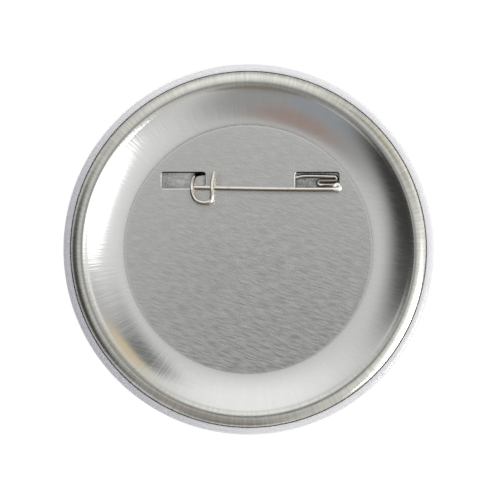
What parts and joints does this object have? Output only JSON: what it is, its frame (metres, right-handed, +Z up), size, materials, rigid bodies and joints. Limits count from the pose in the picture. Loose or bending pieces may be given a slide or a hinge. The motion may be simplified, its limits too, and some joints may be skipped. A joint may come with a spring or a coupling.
{
  "type": "button badge",
  "caption": "Round pin-back button badge: domed film-covered front crimped over a dished tinplate back, with a sprung wire needle caught under a wire hook.",
  "frame": {"origin": "centre of the flat disc's rear face, where the cloth that holds the badge lies against the back", "axes": "-Y out of the back towards the wearer, +Y out of the domed front, +Z up as worn, +X to the right seen from the back, along the pin towards its coil"},
  "size_m": [0.075, 0.0069, 0.075],
  "materials": {
    "film": "clear gloss polyester film",
    "paper": "smooth white print paper",
    "tinplate": "bright tinplate with a fine rolled grain",
    "plated_wire": "bright nickel-plated steel wire"
  },
  "bodies": {
    "badge": {"clear_film": "film", "print_paper": "paper", "front_shell": "tinplate", "back_plate": "tinplate", "pin_wire": "plated_wire"},
    "needle": {"needle": "plated_wire"}
  },
  "joints": [
    {"name": "needle_swing", "type": "hinge", "parent": "badge", "child": "needle", "pos_m": [0.0179, -0.00143, 0.01258], "axis": [0, -0.9781, 0.2079], "range_deg": [0, 60], "stiffness_Nm_per_rad": 0.01}
  ]
}
